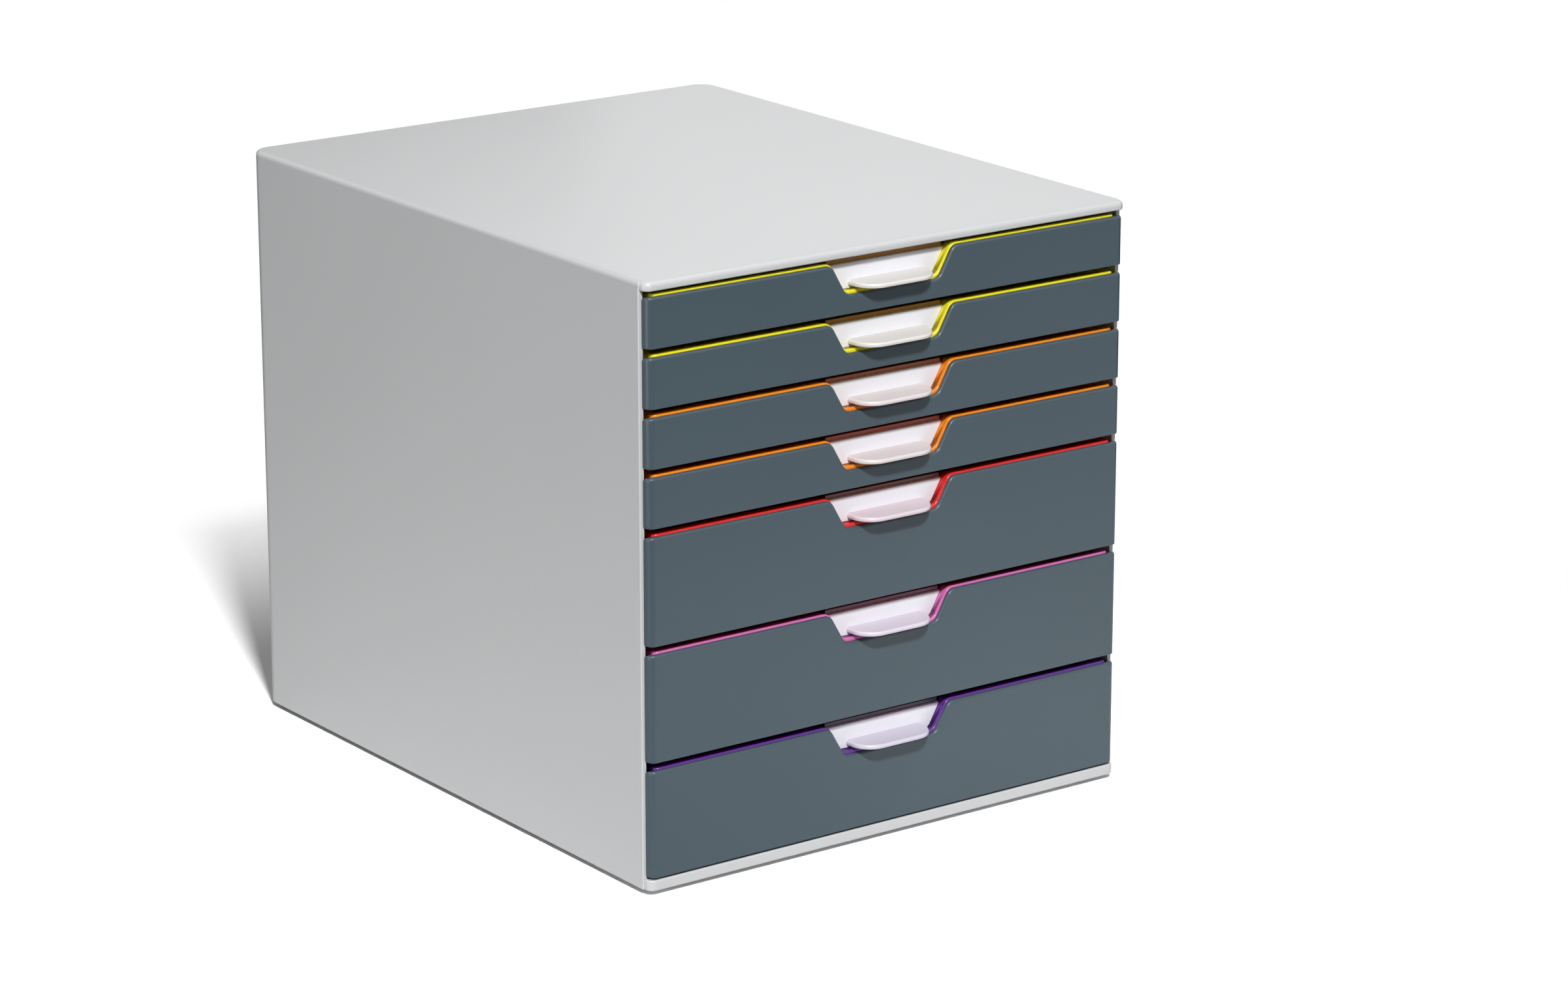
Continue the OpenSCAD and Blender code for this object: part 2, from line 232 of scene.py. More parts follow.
def finished(name, shell, materials, sharp=38):
    """Turns a skin into an object with smooth curves, flat flats and crisp edges."""
    bmesh.ops.remove_doubles(shell, verts=shell.verts, dist=1e-7)
    bmesh.ops.recalc_face_normals(shell, faces=shell.faces)
    mesh = bpy.data.meshes.new(name)
    shell.to_mesh(mesh)
    shell.free()
    for material in materials:
        mesh.materials.append(material)
    mesh.shade_smooth()
    mesh.set_sharp_from_angle(angle=math.radians(sharp))
    piece = bpy.data.objects.new(name, mesh)
    bpy.context.collection.objects.link(piece)
    even_flats(piece)
    return piece


casing_plastic = moulded("casing_plastic", tint(*CASING_TINT), roughness=0.3, grain=0.0, tone=0.01)

roof_low, roof_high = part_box("top_cover")
face_y = roof_low[1]
back_y = roof_high[1]
half_width = roof_high[0]
lip_half = half_width - 0.5 * MM
wall_y = face_y + 5.0 * MM
roof_under = roof_high[2] - CASING_WALL
lip_under = roof_high[2] - 4.5 * MM
lip_corners = [(-lip_half, wall_y, 0), (-lip_half, face_y, 4.0 * MM),
               (lip_half, face_y, 4.0 * MM), (lip_half, wall_y, 0)]

shell = bmesh.new()
plate = rounded(lip_corners + [(half_width, wall_y, 0), (half_width, back_y, CASING_CORNER),
                               (-half_width, back_y, CASING_CORNER), (-half_width, wall_y, 0)])
add_shell(shell, plate, [(0.0, roof_under)] + round_over(roof_high[2], ROOF_EDGE, 1))
add_shell(shell, rounded(lip_corners), round_over(lip_under, 0.9 * MM, -1) + [(0.0, roof_under)])
# a small nub hangs under the middle of the lip
nub_half = 1.5 * MM
add_bar(shell, (-nub_half, wall_y - 2 * MM, lip_under - 0.8 * MM),
        (nub_half, wall_y, lip_under + 0.5 * MM), 0.25 * MM)
add_locating_ribs(shell, roof_under - LOCATING_RIB_HIGH, roof_under)
roof = finished("roof", shell, [casing_plastic])
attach(roof, "casing")
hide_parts("top_cover")

# --- Base -------------------------------------------------------------------------------------
# Moulded floor plate of the casing, let in between the side panels. Its front lip stands forward
# below the lowest drawer, with the same outline as the lip of the roof.
base_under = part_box("base_plate")[0][2]
floor_top = base_under + CASING_WALL
inner_half = half_width - CASING_WALL
inner_back = back_y - CASING_WALL

shell = bmesh.new()
plate = rounded([(-inner_half, wall_y, 0), (inner_half, wall_y, 0),
                 (inner_half, inner_back, CASING_CORNER), (-inner_half, inner_back, CASING_CORNER)])
add_shell(shell, plate, [(0.0, base_under), (0.0, floor_top)])
base_lip_top = base_under + 5.3 * MM
base_lip_edge = 0.8 * MM
add_shell(shell, rounded(lip_corners),
          round_over(base_under, base_lip_edge, -1) + round_over(base_lip_top, base_lip_edge, 1))
add_locating_ribs(shell, floor_top, floor_top + LOCATING_RIB_HIGH)
base = finished("base", shell, [casing_plastic])
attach(base, "casing")
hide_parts("base_plate")

# --- Side panels ------------------------------------------------------------------------------
# Two moulded walls that turn round the rear corners of the casing. On the inside each carries one
# runner rib for each drawer, with a small stop under its front end that catches the drawer's lug.
RIB_WIDTH = 6.0 * MM
RIB_THICK = 1.8 * MM
RIB_BACK = 165.0 * MM
FIRST_RIB_TOP = 282.4 * MM
STOP_DEEP = 3.0 * MM
STOP_HIGH = 2.6 * MM
SHALLOW_UNIT = 28.0 * MM
RETURN_HALF = 127.5 * MM


def socket_in(tree, name, kind, value):
    """Adds a named input to a node tree, with its starting value."""
    socket = tree.interface.new_socket(name, in_out="INPUT", socket_type=kind)
    socket.default_value = value


def runner_rib_nodes():
    """Node tree that adds the ribs and stops of all drawers to the wall that it is given."""
    tree = bpy.data.node_groups.new("runner_ribs", "GeometryNodeTree")
    tree.interface.new_socket("Geometry", in_out="INPUT", socket_type="NodeSocketGeometry")
    tree.interface.new_socket("Geometry", in_out="OUTPUT", socket_type="NodeSocketGeometry")
    socket_in(tree, "Rib Size", "NodeSocketVector", (RIB_WIDTH, RIB_BACK - RIB_FRONT, RIB_THICK))
    socket_in(tree, "Rib Centre", "NodeSocketVector", (0.0, 0.0, 0.0))
    socket_in(tree, "Stop Size", "NodeSocketVector", (RIB_WIDTH, STOP_DEEP, STOP_HIGH))
    socket_in(tree, "Stop Centre", "NodeSocketVector", (0.0, 0.0, 0.0))
    socket_in(tree, "Shallow Ribs", "NodeSocketInt", 5)
    socket_in(tree, "Deep Ribs", "NodeSocketInt", 2)
    socket_in(tree, "Unit Height", "NodeSocketFloat", SHALLOW_UNIT)
    socket_in(tree, "Plastic", "NodeSocketMaterial", None)
    nodes, links = tree.nodes, tree.links
    given = nodes.new("NodeGroupInput")
    joined = nodes.new("GeometryNodeJoinGeometry")
    moulding = nodes.new("GeometryNodeJoinGeometry")
    for size, centre in (("Rib Size", "Rib Centre"), ("Stop Size", "Stop Centre")):
        bar = nodes.new("GeometryNodeMeshCube")
        links.new(given.outputs[size], bar.inputs["Size"])
        moved = nodes.new("GeometryNodeTransform")
        links.new(bar.outputs["Mesh"], moved.inputs["Geometry"])
        links.new(given.outputs[centre], moved.inputs["Translation"])
        links.new(moved.outputs["Geometry"], moulding.inputs["Geometry"])
    drop = nodes.new("ShaderNodeMath")
    drop.operation = "MULTIPLY"
    links.new(given.outputs["Unit Height"], drop.inputs[0])
    drop.inputs[1].default_value = -1.0
    deep_drop = nodes.new("ShaderNodeMath")
    deep_drop.operation = "MULTIPLY"
    links.new(drop.outputs[0], deep_drop.inputs[0])
    deep_drop.inputs[1].default_value = 2.0
    deep_start = nodes.new("ShaderNodeMath")
    deep_start.operation = "MULTIPLY_ADD"
    links.new(given.outputs["Shallow Ribs"], deep_start.inputs[0])
    links.new(drop.outputs[0], deep_start.inputs[1])
    links.new(drop.outputs[0], deep_start.inputs[2])
    for count, step, start in (("Shallow Ribs", drop, None), ("Deep Ribs", deep_drop, deep_start)):
        offset = nodes.new("ShaderNodeCombineXYZ")
        links.new(step.outputs[0], offset.inputs["Z"])
        row = nodes.new("GeometryNodeMeshLine")
        links.new(given.outputs[count], row.inputs["Count"])
        links.new(offset.outputs["Vector"], row.inputs["Offset"])
        if start:
            first = nodes.new("ShaderNodeCombineXYZ")
            links.new(start.outputs[0], first.inputs["Z"])
            links.new(first.outputs["Vector"], row.inputs["Start Location"])
        copies = nodes.new("GeometryNodeInstanceOnPoints")
        links.new(row.outputs["Mesh"], copies.inputs["Points"])
        links.new(moulding.outputs["Geometry"], copies.inputs["Instance"])
        links.new(copies.outputs["Instances"], joined.inputs["Geometry"])
    links.new(given.outputs["Geometry"], joined.inputs["Geometry"])
    real = nodes.new("GeometryNodeRealizeInstances")
    links.new(joined.outputs["Geometry"], real.inputs["Geometry"])
    coat = nodes.new("GeometryNodeSetMaterial")
    links.new(real.outputs["Geometry"], coat.inputs["Geometry"])
    links.new(given.outputs["Plastic"], coat.inputs["Material"])
    out = nodes.new("NodeGroupOutput")
    links.new(coat.outputs["Geometry"], out.inputs["Geometry"])
    return tree


def set_input(modifier, name, value):
    """Gives a value to the input of that name."""
    for item in modifier.node_group.interface.items_tree:
        if item.item_type == "SOCKET" and item.in_out == "INPUT" and item.name == name:
            modifier[item.identifier] = value


def made_plain(piece):
    """Gives a piece its evaluated shape as a plain mesh, with the modifiers used up."""
    bpy.context.view_layer.update()
    shape = bpy.data.meshes.new_from_object(piece.evaluated_get(bpy.context.evaluated_depsgraph_get()))
    piece.modifiers.clear()
    piece.data = shape


runner_ribs = runner_rib_nodes()
for side, node in ((1, "right_side_panel"), (-1, "left_side_panel")):
    low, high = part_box(node)
    shell = bmesh.new()
    wall = rounded([(inner_half, wall_y, 0.25 * MM), (half_width, wall_y, 0.6 * MM),
                    (half_width, back_y, CASING_CORNER), (RETURN_HALF, back_y, 0.5 * MM),
                    (RETURN_HALF, inner_back, 0.5 * MM),
                    (inner_half, inner_back, CASING_CORNER - CASING_WALL)])
    add_shell(shell, wall, round_over(low[2], 0.5 * MM, -1) + [(0.0, high[2])],
              lambda u, v, level: (side * u, v, level))
    panel = finished(node.replace("_panel", "_wall"), shell, [casing_plastic])
    panel.modifiers.clear()
    ribs = panel.modifiers.new("runner_ribs", "NODES")
    ribs.node_group = runner_ribs
    middle = side * (inner_half - RIB_WIDTH / 2)
    rib_under = FIRST_RIB_TOP - RIB_THICK
    set_input(ribs, "Rib Centre", (middle, (RIB_FRONT + RIB_BACK) / 2, FIRST_RIB_TOP - RIB_THICK / 2))
    set_input(ribs, "Stop Centre", (middle, RIB_FRONT + STOP_DEEP / 2, rib_under - STOP_HIGH / 2))
    set_input(ribs, "Plastic", casing_plastic)
    made_plain(panel)
    even_flats(panel)
    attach(panel, "casing")
    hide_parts(node)

# --- Back panel -------------------------------------------------------------------------------
# Flat plate clipped between the returns of the two side panels, flush with them, with a hairline
# joint down each side.


def upright(u, v, level):
    """Stands an outline up, facing the front."""
    return (u, level, v)


low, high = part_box("back_panel")
shell = bmesh.new()
sheet_outline = rounded([(low[0], low[2], 0.6 * MM), (high[0], low[2], 0.6 * MM),
                         (high[0], high[2], 0), (low[0], high[2], 0)])
add_shell(shell, sheet_outline, [(0.0, low[1])] + eased(high[1], 0.4 * MM, 1), upright)
back = finished("back", shell, [casing_plastic])
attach(back, "casing")
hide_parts("back_panel")

# --- Feet -------------------------------------------------------------------------------------
# Four low rubber studs pressed into the base plate near its corners. They lift the casing just
# clear of the table.
foot_rubber = moulded("foot_rubber", tint(44, 44, 45), roughness=0.75, grain=0.6, tone=0.08)
FOOT_RADIUS = 7.0 * MM
foot_profile = [(2.2 * MM, 0.0), (1.4 * MM, 0.1 * MM), (1.0 * MM, 0.45 * MM), (0.0, 2.5 * MM)]
turns = [math.pi / 20 * step for step in range(40)]
low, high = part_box("rubber_feet")
shell = bmesh.new()
for x in (low[0] + FOOT_RADIUS, high[0] - FOOT_RADIUS):
    for y in (low[1] + FOOT_RADIUS, high[1] - FOOT_RADIUS):
        disc = [(x + FOOT_RADIUS * math.cos(t), y + FOOT_RADIUS * math.sin(t)) for t in turns]
        add_shell(shell, disc, foot_profile)
feet = finished("feet", shell, [foot_rubber])
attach(feet, "casing")
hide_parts("rubber_feet")

# --- Drawer trays -----------------------------------------------------------------------------
# Glossy coloured trays. The front rim shows as a bright stripe above each slate front and round
# its notch. Runner flanges slide on the ribs, and a lug on each side stops the tray when it is out.
TRAY_TINTS = {
    "yellow_plastic": (246, 230, 36),
    "orange_plastic": (252, 142, 22),
    "red_plastic": (226, 44, 42),
    "pink_plastic": (214, 116, 182),
    "violet_plastic": (100, 48, 146),
}
# painted shade: the tongues behind the labels wear these dull, shaded copies of the tray colours
SHADED_TONGUE_TINTS = {
    "yellow_plastic": (196, 134, 50),
    "orange_plastic": (205, 120, 105),
    "red_plastic": (145, 98, 102),
    "pink_plastic": (138, 94, 118),
    "violet_plastic": (92, 82, 98),
}
NOTCH_HALF = 35.3 * MM
NOTCH_TAPER = 8.6 / 15.0
NOTCH_BEND = 5.0 * MM
RIM_HALF = 134.5 * MM
RIM_DEEP = 14.2 * MM
RIM_CORNER = 1.2 * MM
RIM_WRAP = 3.0 * MM
TRAY_WALL = 2.0 * MM
TRAY_FLOOR = 1.6 * MM
TRAY_EASE = 0.4 * MM
TRAY_FILLET = 0.9 * MM
BOX_HALF = 130.7 * MM
BOX_CORNER = 3.0 * MM
FLANGE_HALF = 136.7 * MM
FLANGE_THICK = 2.0 * MM
FLANGE_BACK = 163.0 * MM
LUG_HALF = 134.0 * MM
LUG_DEEP = 3.0 * MM
LUG_HIGH = 2.2 * MM
LUG_PLAY = 0.3 * MM
RIB_BELOW_RIM = 3.2 * MM
STOP_PLAY = 0.4 * MM
TRAVEL = 270.0 * MM
slots = {piece["node"]: piece["material_slot"] for piece in frame["record"]["subparts"]}
tray_plastics = {name: moulded(name, tint(*shade), roughness=0.26, grain=0.08, tone=0.02)
                 for name, shade in TRAY_TINTS.items()}
for plastic in tray_plastics.values():
    shader = plastic.node_tree.nodes["Principled BSDF"]
    shader.inputs["Subsurface Weight"].default_value = 0.5
    shader.inputs["Subsurface Radius"].default_value = (1.0, 1.0, 1.0)
    shader.inputs["Subsurface Scale"].default_value = 0.0025
# painted shade: shaded copies of the tray plastics, for the tongues
shaded_tongue_plastics = {name: moulded("shaded_tongue_" + name, tint(*shade), roughness=0.4, grain=0.05, tone=0.08)
                   for name, shade in SHADED_TONGUE_TINTS.items()}


def notch_half(down):
    """Half the width of the notch, that far below the top edge of a front."""
    return NOTCH_HALF - down * NOTCH_TAPER


def notched(half, bottom, top, corner, depth, cut=0.0):
    """Outline of a front with the notch in its top edge; the cut is taken off the top."""
    upper, lower = notch_half(cut), notch_half(depth)
    return rounded([(-half, bottom, corner), (half, bottom, corner), (half, top - cut, corner),
                    (upper, top - cut, NOTCH_BEND), (lower, top - depth, NOTCH_BEND),
                    (-lower, top - depth, NOTCH_BEND), (-upper, top - cut, NOTCH_BEND),
                    (-half, top - cut, corner)])


def sliced(shell, across):
    """Cuts new edges into the skin where an upright plane at that distance across meets it."""
    bmesh.ops.bisect_plane(shell, geom=shell.verts[:] + shell.edges[:] + shell.faces[:], dist=1e-7,
                           plane_co=(across, 0, 0), plane_no=(1, 0, 0))


def wrapped(shell, half, radius, back):
    """Bends the ends of an upright plate back round its upright corners, as far as a plane behind."""
    steps = 10
    for step in range(steps):
        across = half - radius + radius * math.sin(math.pi / 2 * step / steps)
        for side in (-1, 1):
            sliced(shell, side * across)
    for vertex in shell.verts:
        beyond = min(radius, abs(vertex.co.x) - (half - radius))
        if beyond > 0 and vertex.co.y < back:
            vertex.co.y = min(back, vertex.co.y + radius - math.sqrt(radius ** 2 - beyond ** 2))


for number in range(1, 8):
    body = f"drawer_{number}"
    low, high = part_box(body + "_tray")
    bottom, top = low[2], high[2]
    wall_top = top - 1.0 * MM
    rim_front = low[1]
    bead_back = rim_front + 2.5 * MM
    seat = rim_front + 5.5 * MM
    inside = seat + TRAY_WALL
    shell = bmesh.new()
    add_shell(shell, notched(RIM_HALF, bottom, top, RIM_CORNER, RIM_DEEP),
              round_over(rim_front, 0.75 * MM, -1) + [(0.0, bead_back)], upright)
    add_shell(shell, notched(RIM_HALF, bottom, top, RIM_CORNER, RIM_DEEP, cut=top - wall_top),
              [(0.0, bead_back), (0.0, seat - 0.3 * MM), (0.3 * MM, seat)], upright)
    wrapped(shell, RIM_HALF, RIM_WRAP, seat - 0.35 * MM)
    # the front wall behind the rim carries the label, and is cut lower than the rim
    label_top = top - 2.9 * MM
    half_label = notch_half(1.9 * MM)
    half_opening = half_label + 2.5 * MM
    wall_corner = 1.0 * MM
    front_wall = rounded([(-RIM_HALF, bottom, RIM_CORNER), (RIM_HALF, bottom, RIM_CORNER),
                          (RIM_HALF, wall_top, wall_corner), (half_opening, wall_top, wall_corner),
                          (half_label, label_top, wall_corner), (-half_label, label_top, wall_corner),
                          (-half_opening, wall_top, wall_corner), (-RIM_HALF, wall_top, wall_corner)])
    add_shell(shell, front_wall, [(0.0, seat - 0.5 * MM), (0.0, inside - TRAY_EASE), (TRAY_EASE, inside)],
              upright)
    # the open box behind it, rounded inside where the floor meets the walls
    box_front = seat + 0.5 * MM
    box_plan = rounded([(-BOX_HALF, box_front, wall_corner), (BOX_HALF, box_front, wall_corner),
                        (BOX_HALF, high[1], BOX_CORNER), (-BOX_HALF, high[1], BOX_CORNER)])
    outside = round_over(bottom, 1.2 * MM, -1)
    brim = [(0.0, wall_top - TRAY_EASE), (TRAY_EASE, wall_top), (TRAY_WALL - TRAY_EASE, wall_top),
            (TRAY_WALL, wall_top - TRAY_EASE)]
    fillet = [(TRAY_WALL + margin, level) for margin, level in
              round_over(bottom + TRAY_FLOOR, TRAY_FILLET, -1)[::-1]]
    box_shell = bmesh.new()
    add_shell(box_shell, box_plan, outside + brim + fillet)
    for across in (-half_opening, -half_label, half_label, half_opening):
        sliced(box_shell, across)
    for vertex in box_shell.verts:
        in_front = vertex.co.y < inside + 1 * MM and vertex.co.z > label_top
        if in_front and abs(vertex.co.x) < half_label + 1 * MM:
            vertex.co.z -= wall_top - label_top
    box_mesh = bpy.data.meshes.new("open_box")
    box_shell.to_mesh(box_mesh)
    box_shell.free()
    shell.from_mesh(box_mesh)
    bpy.data.meshes.remove(box_mesh)
    # a thin tongue stands up behind the label, in the dull tone that the photograph's shade gives it
    first_tongue_face = len(shell.faces)
    half_tongue = half_label - 0.8 * MM
    add_bar(shell, (-half_tongue, seat + 0.1 * MM, label_top - 1 * MM),
            (half_tongue, seat + 0.9 * MM, top - 0.3 * MM), 0.2 * MM)
    shell.faces.ensure_lookup_table()
    for face in shell.faces[first_tongue_face:]:
        face.material_index = 1
    # the flanges and the lugs start inside the side walls
    root = BOX_HALF - 1 * MM
    lug_top = top - RIB_BELOW_RIM - RIB_THICK - LUG_PLAY
    lug_front = RIB_FRONT + STOP_DEEP + STOP_PLAY + TRAVEL
    for side in (-1, 1):
        x0, x1 = sorted((side * root, side * FLANGE_HALF))
        add_bar(shell, (x0, inside - 1 * MM, wall_top - FLANGE_THICK), (x1, FLANGE_BACK, wall_top),
                0.3 * MM)
        x0, x1 = sorted((side * root, side * LUG_HALF))
        add_bar(shell, (x0, lug_front, lug_top - LUG_HIGH), (x1, lug_front + LUG_DEEP, lug_top),
                0.3 * MM)
    plastic = tray_plastics[slots[body + "_tray"]]
    tray = finished(body + "_tray_moulding", shell, [plastic, shaded_tongue_plastics[slots[body + "_tray"]]])
    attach(tray, body)
    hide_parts(body + "_tray")

# --- Slate fronts -----------------------------------------------------------------------------
# Slate grey caps clipped over the tray fronts. Each is a thin plate with softly rounded edges,
# wrapped round the upright corners of the drawer, with the notch for the label cut into its top.
slate_plastic = moulded("slate_plastic", tint(67, 83, 92), roughness=0.36, grain=0.3, tone=0.04)
PLATE = 2.0 * MM
WRAP = 3.5 * MM
FRONT_EDGE = 1.3 * MM
CUT_OFF = 1.0 * MM
for number in range(1, 8):
    body = f"drawer_{number}"
    low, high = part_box(body + "_front")
    half = high[0]
    shell = bmesh.new()
    outline = notched(half, low[2] - CUT_OFF, high[2], 1.8 * MM, RIM_DEEP + 0.7 * MM)
    add_shell(shell, outline, round_over(low[1], FRONT_EDGE, -1, steps=7) + [(0.0, low[1] + PLATE)],
              upright)
    # the lower edge is left crisp: what is rounded there is cut off
    skin = shell.verts[:] + shell.edges[:] + shell.faces[:]
    cut = bmesh.ops.bisect_plane(shell, geom=skin, dist=1e-7, plane_co=(0, 0, low[2]),
                                 plane_no=(0, 0, -1), clear_outer=True)
    loop = [edge for edge in cut["geom_cut"] if isinstance(edge, bmesh.types.BMEdge)]
    bmesh.ops.contextual_create(shell, geom=loop)
    wrapped(shell, half, WRAP, high[1])
    front = finished(body + "_front_cap", shell, [slate_plastic], sharp=50)
    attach(front, body)
    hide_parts(body + "_front")

# --- Label cards ------------------------------------------------------------------------------
# White cards torn from a perforated sheet, so the top edge is finely scalloped. Each stands in its
# notch between the tray and the holder, and hardly shows above the holder's plate.
SCALLOP = 0.08 * MM
CARD_CORNER_WIDE = 2.2 * MM
CARD_CORNER_HIGH = 2.5 * MM
label_card = moulded("label_card", tint(243, 243, 248), roughness=0.6, grain=0.2, tone=0.01,
                     grain_size=0.3 * MM)
for number in range(1, 8):
    body = f"drawer_{number}"
    low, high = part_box(body + "_label")
    rim_top = high[2] + 2.2 * MM
    shell = bmesh.new()
    card_top = high[2]
    half = notch_half(rim_top - card_top) - 0.25 * MM
    corner_level = low[2] + CARD_CORNER_HIGH
    foot = notch_half(rim_top - corner_level) - 0.85 * MM
    steps = 72
    scallops = [(half - 2 * half * step / steps, card_top - SCALLOP / 2 * (1 + math.cos(step * math.pi / 2)))
                for step in range(steps + 1)]
    card = [(-foot + CARD_CORNER_WIDE, low[2]), (foot - CARD_CORNER_WIDE, low[2]), (foot, corner_level)]
    card += scallops + [(-foot, corner_level)]
    add_shell(shell, card, [(0.0, low[1]), (0.0, high[1])], upright)
    label = finished(body + "_label_card", shell, [label_card])
    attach(label, body)
    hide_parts(body + "_label")

# --- Label holders and finger lips ------------------------------------------------------------
# One frosted moulding in each notch: a plate over the card, as white as the card, and a lip to pull
# the drawer by. The lip has rounded front corners, a top that falls a little towards the front, and
# a rim turned down all round.
FROSTED_TINT = (229, 227, 237)
# painted light: the share of the tray's colour mixed into the frosted plastic, a painted colour bleed
TRAY_BLEED_SHARE = 0.07
LIP_HALF = 22.0 * MM
LIP_CORNER = 11.0 * MM
LIP_WALL = 1.4 * MM
LIP_FALL = 0.5 * MM


def frosted(tray_tint):
    """Frosted plastic with a little of the colour of its tray mixed in, as a painted colour bleed of the
    tray's light.

    What faces up is painted darker, a painted shade that stands for the light that the top of the lip, being
    of slight thickness, lets through.
    """
    blend = [(1 - TRAY_BLEED_SHARE) * own + TRAY_BLEED_SHARE * other for own, other in zip(FROSTED_TINT, tray_tint)]
    material = moulded("frosted_plastic", tint(*blend), roughness=0.3, grain=0.0, tone=0.01)
    nodes, links = material.node_tree.nodes, material.node_tree.links
    shader = nodes["Principled BSDF"]
    facing = nodes.new("ShaderNodeTexCoord")
    upward = nodes.new("ShaderNodeSeparateXYZ")
    links.new(facing.outputs["Normal"], upward.inputs["Vector"])
    # painted shade: faces that point up are darkened to 0.84 of the colour
    painted_top_shade = map_range(nodes, 0.5, 1.0, 1.0, 0.84)
    links.new(upward.outputs["Z"], painted_top_shade.inputs["Value"])
    painted_dimming = nodes.new("ShaderNodeVectorMath")
    painted_dimming.operation = "SCALE"
    links.new(shader.inputs["Base Color"].links[0].from_socket, painted_dimming.inputs["Vector"])
    links.new(painted_top_shade.outputs["Result"], painted_dimming.inputs["Scale"])
    links.new(painted_dimming.outputs["Vector"], shader.inputs["Base Color"])
    return material


frosted_plastics = {name: frosted(shade) for name, shade in TRAY_TINTS.items()}
white_plate = moulded("white_plate", tint(244, 244, 250), roughness=0.25, grain=0.0, tone=0.01)
for number in range(1, 8):
    body = f"drawer_{number}"
    low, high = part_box(body + "_grip")
    rim_top = high[2] + 2.9 * MM
    plate_back = high[1]
    plate_front = plate_back - 1.1 * MM
    plate_top = high[2] + 0.6 * MM
    shell = bmesh.new()
    top_half = notch_half(rim_top - plate_top) - 0.25 * MM
    plate_low = rim_top - RIM_DEEP
    foot_half = notch_half(RIM_DEEP) - 0.25 * MM
    plate = rounded([(-foot_half, plate_low, 4.0 * MM), (foot_half, plate_low, 4.0 * MM),
                     (top_half, plate_top, 0.4 * MM), (-top_half, plate_top, 0.4 * MM)])
    add_shell(shell, plate, eased(plate_front, 0.35 * MM, -1) + [(0.0, plate_back)], upright)
    lip_top = rim_top - 10.1 * MM
    rim_low = lip_top - 2.6 * MM
    lip_front = low[1]
    root = plate_front + 1.5 * MM
    lip_plan = rounded([(-LIP_HALF, root, 0), (-LIP_HALF, lip_front, LIP_CORNER),
                        (LIP_HALF, lip_front, LIP_CORNER), (LIP_HALF, root, 0)])
    layers = [(LIP_WALL, lip_top - LIP_WALL), (LIP_WALL, rim_low + 0.5 * MM),
              (LIP_WALL - 0.2 * MM, rim_low + 0.1 * MM), (0.7 * MM, rim_low),
              (0.25 * MM, rim_low + 0.1 * MM), (0.0, rim_low + 0.5 * MM)]
    layers += round_over(lip_top, 1.1 * MM, 1)
    add_shell(shell, lip_plan, layers)
    # the top falls a little towards the front, and the lower edge of the rim stays level
    for vertex in shell.verts:
        if vertex.co.y < plate_front and vertex.co.z > rim_low + 0.8 * MM:
            share = (plate_front - vertex.co.y) / (plate_front - lip_front)
            vertex.co.z -= LIP_FALL * share ** 1.5
    grip = finished(body + "_finger_lip", shell, [frosted_plastics[slots[body + "_tray"]], white_plate])
    # the plate is white where it faces the front or stands above the lip
    for face in grip.data.polygons:
        if face.center.y > plate_front - 0.01 * MM and face.center.z > rim_low - 3.0 * MM:
            if abs(face.normal.y) > 0.3 or face.center.z > lip_top + 1.0 * MM:
                face.material_index = 1
    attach(grip, body)
    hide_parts(body + "_grip")

# --- Studio -----------------------------------------------------------------------------------
# A white table that fades into an even white surround, a small lamp high at the front left, soft
# ones round the box, and a board behind that only shows in the gloss. The table has one look for the
# camera, which sees it brighter than it is, one for gloss, and one for the light that it throws.
TABLE_REACH = 14.0
CAMERA_WHITE = 1.7
# painted light: the centre of the bright pool that the table shows in gloss
PAINTED_POOL_CENTRE = (0.23, -0.32, 0.0)
BOARD_LEFT, BOARD_RIGHT, BOARD_BACK, BOARD_HIGH = -4.0, 0.95, 1.5, 0.67
SURROUND_LIGHT = 0.12
LAMP_AIM = 0.15


def studio_sheet(name, corners, material):
    """A flat sheet that stands round the object and is no part of it."""
    mesh = bpy.data.meshes.new(name)
    mesh.from_pydata(corners, [], [(0, 1, 2, 3)])
    mesh.materials.append(material)
    sheet = bpy.data.objects.new(name, mesh)
    bpy.context.collection.objects.link(sheet)
    return sheet


paint = bpy.data.materials.new("studio_floor")
paint.use_nodes = True
nodes, links = paint.node_tree.nodes, paint.node_tree.links
nodes.clear()
place = nodes.new("ShaderNodeTexCoord")
away = nodes.new("ShaderNodeVectorMath")
away.operation = "LENGTH"
links.new(place.outputs["Object"], away.inputs[0])
# painted light: what the table throws back falls from 0.7 near the box to 0.1 at 0.9 m, a painted pool of
# light round the box
painted_dimming = map_range(nodes, 0.2, 0.9, 0.7, 0.1)
links.new(away.outputs["Value"], painted_dimming.inputs["Value"])
# the gloss of the drawer fronts shows a painted pool of light, brighter than white, on the table at the
# front right
beside = nodes.new("ShaderNodeVectorMath")
beside.operation = "DISTANCE"
beside.inputs[1].default_value = PAINTED_POOL_CENTRE
links.new(place.outputs["Object"], beside.inputs[0])
painted_light_pool = map_range(nodes, 0.1, 0.62, 1.6, 0.1)
links.new(beside.outputs["Value"], painted_light_pool.inputs["Value"])
seen = nodes.new("ShaderNodeLightPath")
brighter = nodes.new("ShaderNodeMath")
brighter.operation = "MAXIMUM"
links.new(painted_dimming.outputs["Result"], brighter.inputs[0])
links.new(painted_light_pool.outputs["Result"], brighter.inputs[1])
lifted = nodes.new("ShaderNodeMix")
links.new(seen.outputs["Is Glossy Ray"], lifted.inputs["Factor"])
links.new(painted_dimming.outputs["Result"], lifted.inputs["A"])
links.new(brighter.outputs[0], lifted.inputs["B"])
table_top = nodes.new("ShaderNodeBsdfDiffuse")
links.new(lifted.outputs["Result"], table_top.inputs["Color"])
bright_top = nodes.new("ShaderNodeBsdfDiffuse")
bright_top.inputs["Color"].default_value = (CAMERA_WHITE, CAMERA_WHITE, CAMERA_WHITE, 1.0)
white = nodes.new("ShaderNodeEmission")
